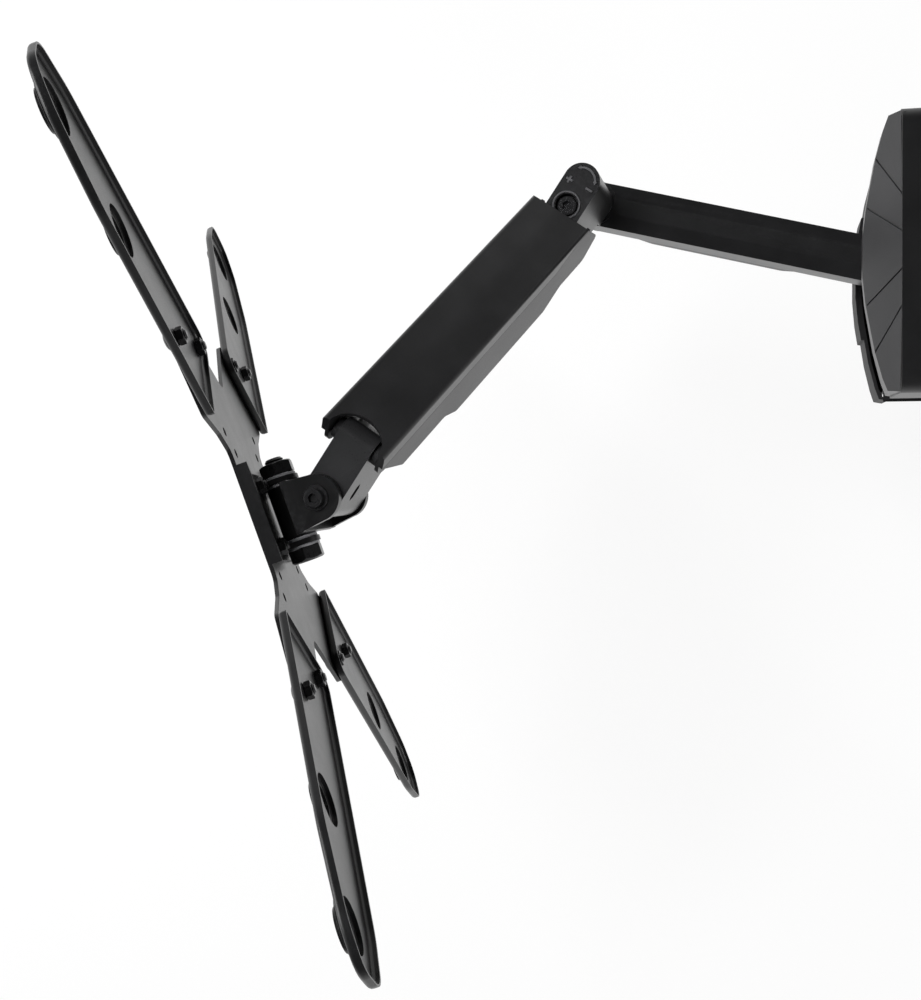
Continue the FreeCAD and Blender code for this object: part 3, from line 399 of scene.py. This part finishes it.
def stretch(piece, space, amounts):
    # into the frame, stretched along its axes, and back
    activate(piece)
    for step in (space.inverted(), Matrix.Diagonal((*amounts, 1)), space):
        piece.matrix_world = step
        settle()


def pick(piece, kind, chosen):
    # selects the corners, edges or faces that a test picks out, and leaves the mesh open
    openMesh(piece, "DESELECT")
    bpy.ops.mesh.select_mode(type=kind)
    closeMesh()
    parts = {"VERT": piece.data.vertices, "EDGE": piece.data.edges, "FACE": piece.data.polygons}
    for part in parts[kind]:
        part.select = chosen(part)
    bpy.ops.object.mode_set(mode="EDIT")


def ringCut(piece, height):
    # a level cut round the whole piece, height in mm
    openMesh(piece)
    bpy.ops.mesh.bisect(plane_co=(0, 0, height * mm), plane_no=(0, 0, 1))
    closeMesh()


def nudge(piece, chosen, offset):
    # moves the corners that a test picks out by their place, all in mm
    pick(piece, "VERT", lambda corner: chosen(corner.co / mm))
    bpy.ops.transform.translate(value=Vector(offset) * mm)
    closeMesh()


wallForms = {  # mm: the hood's lip and the step in the housing's sides
    "lipLow": 62.0, "recess": 4.0, "stepTop": -35.0, "stepIn": 8.0, "sideFrom": 78.0, "taper": 0.8,
}


def shapeWallUnit(piece, node):
    form = wallForms
    if node == "front_cover_lower":
        nudge(piece, lambda spot: True, (0, form["recess"], 0))
    if node == "front_cover_upper":  # the hood's wall steps back under its lip
        ringCut(piece, form["lipLow"])
        ringCut(piece, form["lipLow"] - form["taper"])
        below = form["lipLow"] - form["taper"] / 2
        nudge(piece, lambda spot: spot.z < below, (0, form["recess"], 0))
    if node == "base_housing":  # narrower under the arm's slot
        ringCut(piece, form["stepTop"])
        ringCut(piece, form["stepTop"] - form["taper"])
        below = form["stepTop"] - form["taper"] / 2
        for side in (-1, 1):
            nudge(piece, lambda spot: spot.z < below and spot.x * side > form["sideFrom"],
                  (-side * form["stepIn"], 0, 0))


bladeBend = {  # mm, the bend between web and rim, and what tells the rim's faces and edges
    "outer": 2.6, "inner": 1.8, "segments": 4, "thinner": 0.7,
    "tall": 2.4, "skin": 0.5, "upright": 0.1, "near": 0.02,
}


def webDepths(mesh):
    return [(toWeb @ corner.co).x / mm for corner in mesh.vertices]


def bendRim(piece):
    # thins the rim of a pressed arm and rounds its bend to the web, outside and inside
    mesh = piece.data
    depth = webDepths(mesh)
    rimBack = min(depth)
    webBack = max(spot for spot in depth if spot < -bladeBend["skin"])
    wall = {0.0, round(webBack - rimBack, 1)}
    inner = [face.index for face in mesh.polygons
             if abs((toWeb.to_3x3() @ face.normal).x) < bladeBend["upright"]
             and {round(depth[k] - rimBack, 1) for k in face.vertices} == wall]
    pick(piece, "FACE", lambda face: face.index in inner)
    bpy.ops.transform.shrink_fatten(value=-bladeBend["thinner"] * mm, use_even_offset=True)
    closeMesh()
    for level, width in ((0.0, bladeBend["outer"]), (webBack, bladeBend["inner"])):
        depth = webDepths(mesh)
        tall = set()
        for face in mesh.polygons:
            if min(depth[k] for k in face.vertices) < -bladeBend["tall"]:
                tall.update(face.edge_keys)
        flush = [abs(spot - level) < bladeBend["near"] for spot in depth]
        pick(piece, "EDGE", lambda edge: edge.key in tall and all(flush[k] for k in edge.vertices))
        bpy.ops.mesh.bevel(offset=width * mm, segments=bladeBend["segments"], affect="EDGES",
                           clamp_overlap=True, loop_slide=False)
        bpy.ops.mesh.select_mode(type="VERT")
        closeMesh()


def soften(node, finish, width, segments):
    piece = bpy.data.objects.new(node + "_finished", nodes[node].data.copy())
    bpy.context.scene.collection.objects.link(piece)
    openMesh(piece)
    bpy.ops.mesh.remove_doubles(threshold=solidEdges["merge"] * mm)
    bpy.ops.mesh.dissolve_limited(angle_limit=math.radians(solidEdges["onePlane"]))
    closeMesh()
    if node in reshapes:
        stretch(piece, *reshapes[node])
    shapeWallUnit(piece, node)
    if node in blades:
        bendRim(piece)
    bevelEdges(piece, width, segments, solidEdges["bevelFrom"])
    if node == "front_cover_upper":
        creaseHood(piece)
    smooth(piece, solidEdges["smoothTo"])
    dress(piece, finish)
    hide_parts(node)
    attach(piece, bodyOf[node])


for node, (finish, width, segments) in softEdges.items():
    soften(node, finish, width, segments)
print("rounded pieces:", len(softEdges))


def stackRings(name, rings, sides=36):
    # a turned shape, drawn up from a disc ring by ring, each ring a radius and a height in mm
    deselect()
    bpy.ops.mesh.primitive_circle_add(vertices=sides, radius=rings[0][0] * mm, fill_type="NGON")
    piece = bpy.context.object
    piece.name = name
    openMesh(piece)
    bpy.ops.transform.translate(value=(0, 0, rings[0][1] * mm))
    for (before, low), (radius, height) in zip(rings, rings[1:]):
        bpy.ops.mesh.extrude_region_move(TRANSFORM_OT_translate={"value": (0, 0, (height - low) * mm)})
        bpy.ops.transform.resize(value=(radius / before, radius / before, 1), center_override=(0, 0, 0))
    faceOutwards()
    return piece


def hexBar(name, flats, low, high):
    return stackRings(name, [(flats / math.sqrt(3), low), (flats / math.sqrt(3), high)], 6)


threadForm = {  # shares of the pitch: ridges of a rolled thread; the tip is a share of their depth
    "deep": 0.55, "tip": 1.6, "start": 0.5, "crestIn": 0.1, "crestFrom": 0.4, "crestTo": 0.55, "root": 0.95,
}


def threadRings(radius, low, high, pitch):
    # a thread with a pointed tip at the low end
    deep = threadForm["deep"] * pitch
    crest = radius - threadForm["crestIn"] * pitch
    height = low + threadForm["start"] * pitch
    rings = [(radius - threadForm["tip"] * deep, low), (radius - deep, height)]
    while height + pitch < high:
        rings += [(crest, height + threadForm["crestFrom"] * pitch),
                  (crest, height + threadForm["crestTo"] * pitch),
                  (radius - deep, height + threadForm["root"] * pitch)]
        height += pitch
    return rings + [(radius, high)]


hexForm = {  # turned-off corners as shares of the flats, and mm of the drum and of the nut's hole
    "clear": 1.02, "face": 0.475, "slope": 0.58, "drumPast": 0.01, "drumSides": 48,
    "mouth": 0.7, "slack": 0.05, "lead": 0.55, "holePast": 0.1,
}
overlap = 1.0  # mm that a shank or a key runs on into what it joins or cuts


def hexHead(flats, low, high, chamferLow, chamferHigh):
    # hexagon with its corners turned off at the ends
    head = hexBar("head", flats, low, high)
    corner = flats / math.sqrt(3) * hexForm["clear"]
    face = flats * hexForm["face"]
    slope = (corner - face) * hexForm["slope"]
    rings = [(face if chamferLow else corner, low - hexForm["drumPast"]),
             (corner, low + (slope if chamferLow else 0)),
             (corner, high - (slope if chamferHigh else 0)),
             (face if chamferHigh else corner, high + hexForm["drumPast"])]
    return carve(head, stackRings("drum", rings, hexForm["drumSides"]), "INTERSECT")


def hexNut(flats, low, high, bore):
    nut = hexHead(flats, low, high, True, True)
    mouth = bore + hexForm["mouth"]
    hole = bore + hexForm["slack"]
    rings = [(mouth, low - hexForm["holePast"]), (hole, low + hexForm["lead"]),
             (hole, high - hexForm["lead"]), (mouth, high + hexForm["holePast"])]
    return carve(nut, stackRings("bore", rings))


def cutSocket(screw, size, top):
    return carve(screw, hexBar("key", size["key"], top - size["keyDepth"], top + overlap))


domeForm = {"rim": 0.3, "steps": 8}  # mm of upright rim, and rings of the arc


def domedBolt(size):
    rim = domeForm["rim"]
    face = size["face"]
    rings = threadRings(size["shank"], size["tail"], size["threadEnd"], size["pitch"])
    rings += [(size["shank"], face), (size["dome"] - rim, face), (size["dome"], face + rim)]
    for step in range(1, domeForm["steps"]):
        turn = math.radians(90 * step / domeForm["steps"])
        rings.append((rim + (size["dome"] - rim) * math.cos(turn),
                      face + rim + (size["rise"] - rim) * math.sin(turn)))
    return cutSocket(stackRings("bolt", rings), size, face + size["rise"])


def socketScrew(size):
    # a cap screw: thread, shank, the head's foot and its rounded crown
    rings = threadRings(size["shank"], size["tail"], size["threadEnd"], size["pitch"])
    rings.append((size["shank"], size["seat"]))
    rings += [(size["headRadius"] - inset, size["seat"] + rise) for inset, rise in size["foot"]]
    rings += [(size["headRadius"] - inset, size["headHigh"] - drop) for inset, drop in size["crown"]]
    return cutSocket(stackRings("screw", rings), size, size["headHigh"])


def repeat(piece, name, spaces):
    # copies of one fastener, each with its own mesh, joined as the node they stand for
    twins = []
    for space in spaces:
        twin = piece.copy()
        twin.data = piece.data.copy()
        bpy.context.scene.collection.objects.link(twin)
        twin.matrix_world = space
        twins.append(twin)
    bpy.data.objects.remove(piece)
    deselect()
    for twin in twins:
        twin.select_set(True)
    bpy.context.view_layer.objects.active = twins[0]
    settle()
    if len(twins) > 1:
        bpy.ops.object.join()
    twins[0].name = name
    return twins[0]


fastenerEdges = {"width": 0.15, "segments": 2, "bevelFrom": 34, "smoothTo": 32}


def fasten(piece, node, spaces, finish="fastener"):
    done = repeat(piece, node + "_finished", spaces)
    finishEdges(done, fastenerEdges, finish)
    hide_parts(node)
    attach(done, bodyOf[node])


alongX = spun(90, "Y")
alongY = spun(-90, "X")

plateBolts = {  # domed bolts with hexagon sockets, mm along the plate's axis
    "arm_bolts": {"shank": 3.0, "tail": 7.0, "threadEnd": 12.5, "pitch": 1.0, "face": 16.5, "dome": 6.5,
                  "rise": 3.4, "key": 4.0, "keyDepth": 2.2},
    "bracket_bolts": {"shank": 3.0, "tail": 5.4, "threadEnd": 11.0, "pitch": 1.0, "face": 16.5, "dome": 6.5,
                      "rise": 3.4, "key": 4.0, "keyDepth": 2.2},
    "armPlaces": [(u, w) for u in (-100, 100) for w in (-102, -52, 52, 102)],
    "bracketPlaces": [(u, w) for u in (-19, 19) for w in (-20, 20)],
    "nutFlats": 9.0, "armNut": (8.4, 12.5), "bracketNut": (6.9, 11.0),
}
for node, nut, places, space, seat in (
        ("arm_bolts", "arm_nuts", "armPlaces", levelSpace, "armNut"),
        ("bracket_bolts", "bracket_nuts", "bracketPlaces", plateSpace, "bracketNut")):
    spots = [space @ shifted(0, u, w) @ alongX for u, w in plateBolts[places]]
    fasten(domedBolt(plateBolts[node]), node, spots)
    fasten(hexNut(plateBolts["nutFlats"], *plateBolts[seat], plateBolts[node]["shank"]), nut, spots)

tiltFixing = {  # mm along the tilt axis; dish: radius, and height from the head's top
    "flats": 19.0, "shank": 6.0, "seat": 23.1, "head": 8.0, "nut": 8.0, "tail": 3.0,
    "pitch": 1.5, "lead": 2.0, "dish": ((6.0, -0.5), (7.2, 0.2)),
}
seat = tiltFixing["seat"]
top = seat + tiltFixing["head"]
nutLow = -seat - tiltFixing["nut"]
rings = threadRings(tiltFixing["shank"], nutLow - tiltFixing["tail"], tiltFixing["lead"] - seat,
                    tiltFixing["pitch"])
bolt = stackRings("bolt", rings + [(tiltFixing["shank"], seat + overlap)])
bolt = carve(bolt, hexHead(tiltFixing["flats"], seat, top, False, True), "UNION")
dish = stackRings("dish", [(radius, top + rise) for radius, rise in tiltFixing["dish"]])
fasten(carve(bolt, dish), "tilt_bolt", [plateSpace @ alongY])
fasten(hexNut(tiltFixing["flats"], nutLow, -seat, tiltFixing["shank"]), "tilt_nut", [plateSpace @ alongY])

swivelFixing = {  # mm along the swivel axis; foot and crown: in from the head's radius, and up or down
    "shank": 5.0, "tail": -42.85, "threadEnd": -29, "pitch": 1.25,
    "seat": 31.85, "headRadius": 5.6, "headHigh": 36.45,
    "foot": ((0.2, 0), (0, 0.3)), "crown": ((0, 0.8), (0.3, 0.25), (0.9, 0)), "key": 5.0, "keyDepth": 3.0,
}
swivelNut = {"flats": 16.0, "low": -39.85, "high": -31.85, "bore": 5.0}
fasten(socketScrew(swivelFixing), "swivel_screw", [yokeSpace])
fasten(hexNut(**swivelNut), "swivel_nut", [yokeSpace])

elbowFixing = {"flats": 19.0, "low": -26.8, "seat": -18.8, "shank": 6.0, "top": 32.2}
bolt = stackRings("bolt", [(elbowFixing["shank"], elbowFixing["seat"] - overlap),
                           (elbowFixing["shank"], elbowFixing["top"])])
head = hexHead(elbowFixing["flats"], elbowFixing["low"], elbowFixing["seat"], True, False)
fasten(carve(bolt, head, "UNION"), "elbow_pivot_bolt", [knuckleSpace])

wallNut = {"flats": 19.0, "low": -30.2, "high": -22.2, "bore": 6.0}
fasten(hexNut(**wallNut), "wall_pivot_nut", [wallSpace])

adjuster = {  # mm up the adjuster's axis; foot and crown as on the swivel screw
    "reach": 17.8, "shank": 4.0, "tail": 42.0, "threadEnd": 80.7, "pitch": 1.25,
    "seat": 82.7, "headRadius": 6.5, "headHigh": 87.7,
    "foot": ((0, 0),), "crown": ((0, 0.9), (0.35, 0.3), (1.1, 0)), "key": 6.0, "keyDepth": 3.2,
}
adjusterSpace = shifted(adjuster["reach"], 0, 0)
fasten(socketScrew(adjuster), "adjuster_screw", [knuckleSpace @ adjusterSpace], "screw")
print("fasteners made")


marks = {  # raised marks on the knuckle's top, mm and degrees in its plan: plus, minus, turning arrow and lip
    "top": 90.0, "rise": 0.9, "sink": 0.4, "stroke": 1.35, "length": 4.8,
    "plus": (2.8, -7.4), "minus": (2.1, 7.3),
    "arcRadius": 9.0, "arcFrom": 118.0, "arcTo": 214.0, "arcStep": 6, "fewestSteps": 8, "merge": 0.01,
    "arrow": 1.5, "arrowPast": 4, "lipRadius": 8.7, "lipWidth": 1.1, "lipRise": 0.8,
    "edges": {"width": 0.22, "segments": 2, "bevelFrom": 40, "smoothTo": 35},
}


def markMiddle(rise):
    return marks["top"] + (rise - marks["sink"]) / 2


def raisedBar(x, y, long, wide):
    return addBlock((long, wide, marks["rise"] + marks["sink"]), (x, y, markMiddle(marks["rise"])))


def sweptRing(radius, wide, rise, start, sweep):
    # a small upright face spun round the Z axis
    deselect()
    bpy.ops.mesh.primitive_plane_add(size=1, rotation=(math.radians(90), 0, 0))
    ring = bpy.context.object
    ring.scale = (wide * mm, (rise + marks["sink"]) * mm, 1)
    ring.location = Vector((radius, 0, markMiddle(rise))) * mm
    settle()
    ring.matrix_world = spun(start, "Z")
    settle()
    openMesh(ring)
    steps = max(marks["fewestSteps"], int(abs(sweep) / marks["arcStep"]))
    bpy.ops.mesh.spin(steps=steps, angle=math.radians(-sweep), center=(0, 0, 0), axis=(0, 0, 1))
    bpy.ops.mesh.select_all(action="SELECT")
    bpy.ops.mesh.remove_doubles(threshold=marks["merge"] * mm)
    faceOutwards()
    return ring


def arrowHead(angle, heading):
    deselect()
    bpy.ops.mesh.primitive_cylinder_add(vertices=3, radius=marks["arrow"] * mm,
                                        depth=(marks["rise"] + marks["sink"]) * mm)
    head = bpy.context.object
    spot = spun(angle, "Z") @ shifted(marks["arcRadius"], 0, markMiddle(marks["rise"]))
    head.matrix_world = spot @ spun(heading, "Z")
    settle()
    return head


def emboss(piece, name):
    openMesh(piece)
    faceOutwards()
    done = repeat(piece, name, [knuckleSpace])
    finishEdges(done, marks["edges"], "mark")
    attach(done, "knuckle")


plusX, plusY = marks["plus"]
plus = carve(raisedBar(plusX, plusY, marks["length"], marks["stroke"]),
             raisedBar(plusX, plusY, marks["stroke"], marks["length"]), "UNION")
emboss(plus, "plusMark")
emboss(raisedBar(*marks["minus"], marks["stroke"], marks["length"]), "minusMark")
arc = sweptRing(marks["arcRadius"], marks["stroke"], marks["rise"], marks["arcFrom"],
                marks["arcTo"] - marks["arcFrom"])
arc = carve(arc, arrowHead(marks["arcFrom"] - marks["arrowPast"], 180), "UNION")
arc = carve(arc, arrowHead(marks["arcTo"] + marks["arrowPast"], 0), "UNION")
emboss(arc, "turnArrow")
lip = sweptRing(marks["lipRadius"], marks["lipWidth"], marks["lipRise"], 0, 360)
lip.matrix_world = adjusterSpace
settle()
emboss(lip, "adjusterLip")
print("adjuster marks made")


mouthPanel = {  # mm, closes the housing behind the hood
    "halfWidth": 84.2, "low": 58.0, "high": 102.2, "front": -50.6, "thick": 1.5,
    "edges": {"width": 0.3, "segments": 2, "bevelFrom": 40, "smoothTo": 35},
}
panel = addBlock(
    (2 * mouthPanel["halfWidth"], mouthPanel["thick"], mouthPanel["high"] - mouthPanel["low"]),
    (0, mouthPanel["front"] + mouthPanel["thick"] / 2, (mouthPanel["high"] + mouthPanel["low"]) / 2))
panel.name = "mouthPanel"
finishEdges(panel, mouthPanel["edges"], "housing")
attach(panel, "wall_unit")
print("mouth panel made")


cameraView = {  # from above, a little towards the wall: place and near limit in metres, lens and sensor in mm
    "place": (0.12843, -0.13219, 0.98716), "right": (0.006188, 0.975994, -0.217711),
    "up": (-0.999596, 0.0, -0.028413), "lens": 49.445, "sensor": 36, "near": 0.01,
}


def addCamera():
    right = Vector(cameraView["right"]).normalized()
    up = Vector(cameraView["up"]).normalized()
    turn = Matrix((right, up, right.cross(up))).transposed().to_4x4()
    lens = bpy.data.cameras.new("photoCamera")
    lens.lens = cameraView["lens"]
    lens.sensor_width = cameraView["sensor"]
    lens.clip_start = cameraView["near"]
    camera = bpy.data.objects.new("photoCamera", lens)
    camera.matrix_world = Matrix.Translation(cameraView["place"]) @ turn
    bpy.context.scene.collection.objects.link(camera)
    bpy.context.scene.camera = camera


studio = {  # metres and watts
    "floorDrop": 0.26, "floorSize": 40.0, "floorGlow": 0.80, "floorPaint": 0.98,
    "skyLow": 0.42, "skyHigh": 0.05, "skyFrom": 0.02, "skyTo": 0.42,
    "lamps": (  # name, place, aim, size, power, seen in reflections
        ("overheadBank", (-0.55, -0.95, 2.3), (0.12, -0.25, 0.0), 1.2, 56, False),
        ("leftSoftbox", (0.15, -2.0, 1.05), (0.1, -0.3, 0.15), 1.1, 18, True),
        ("rightStrip", (0.9, 1.1, 0.75), (0.05, -0.2, 0.1), 0.6, 8, True),
    ),
}


def addFloor():
    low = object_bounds()[0]
    deselect()
    bpy.ops.mesh.primitive_plane_add(size=studio["floorSize"], location=(0, 0, low[2] - studio["floorDrop"]))
    floor = bpy.context.object
    floor.name = "floor"
    board = Board(bpy.data.materials.new("paleFloor"))
    paint = board.add("ShaderNodeBsdfDiffuse", {}, {"Color": grey(studio["floorPaint"], 0)})
    glow = board.add("ShaderNodeEmission", {}, {"Color": grey(1.0, 0), "Strength": 1.0})
    seen = board.add("ShaderNodeLightPath", output="Is Camera Ray")
    for ray in ("Is Glossy Ray", "Is Transmission Ray"):
        seen = seen.larger(board.add("ShaderNodeLightPath", output=ray))
    mixed = board.add("ShaderNodeMixShader", {}, {0: seen * studio["floorGlow"], 1: paint, 2: glow})
    board.add("ShaderNodeOutputMaterial", {}, {"Surface": mixed})
    floor.data.materials.append(board.owner)


def addSky():
    # pale low down and dim overhead as light, plain white to the camera
    sky = Board(bpy.data.worlds.new("studio"))
    bpy.context.scene.world = sky.owner
    ray = sky.add("ShaderNodeTexCoord", output="Generated")
    height = sky.add("ShaderNodeSeparateXYZ", {}, {0: ray}, output="Z")
    tone = mixColours(sky, height.clip(studio["skyFrom"], studio["skyTo"]),
                      grey(studio["skyLow"], 0), grey(studio["skyHigh"], 0))
    light = sky.add("ShaderNodeBackground", {}, {"Color": tone, "Strength": 1.0})
    plain = sky.add("ShaderNodeBackground", {}, {"Color": grey(1.0, 0), "Strength": 1.0})
    direct = sky.add("ShaderNodeLightPath", output="Is Camera Ray")
    mixed = sky.add("ShaderNodeMixShader", {}, {0: direct, 1: light, 2: plain})
    sky.add("ShaderNodeOutputWorld", {}, {"Surface": mixed})


def addLamps():
    for name, place, aim, size, power, mirrored in studio["lamps"]:
        lamp = bpy.data.lights.new(name, "AREA")
        lamp.energy = power
        lamp.size = size
        box = bpy.data.objects.new(name, lamp)
        box.location = place
        box.rotation_euler = (Vector(aim) - Vector(place)).to_track_quat("-Z", "Y").to_euler()
        box.visible_glossy = mirrored
        bpy.context.scene.collection.objects.link(box)


addCamera()
addFloor()
addSky()
addLamps()
bpy.context.scene.view_settings.view_transform = "Standard"
deselect()
print("scene ready")
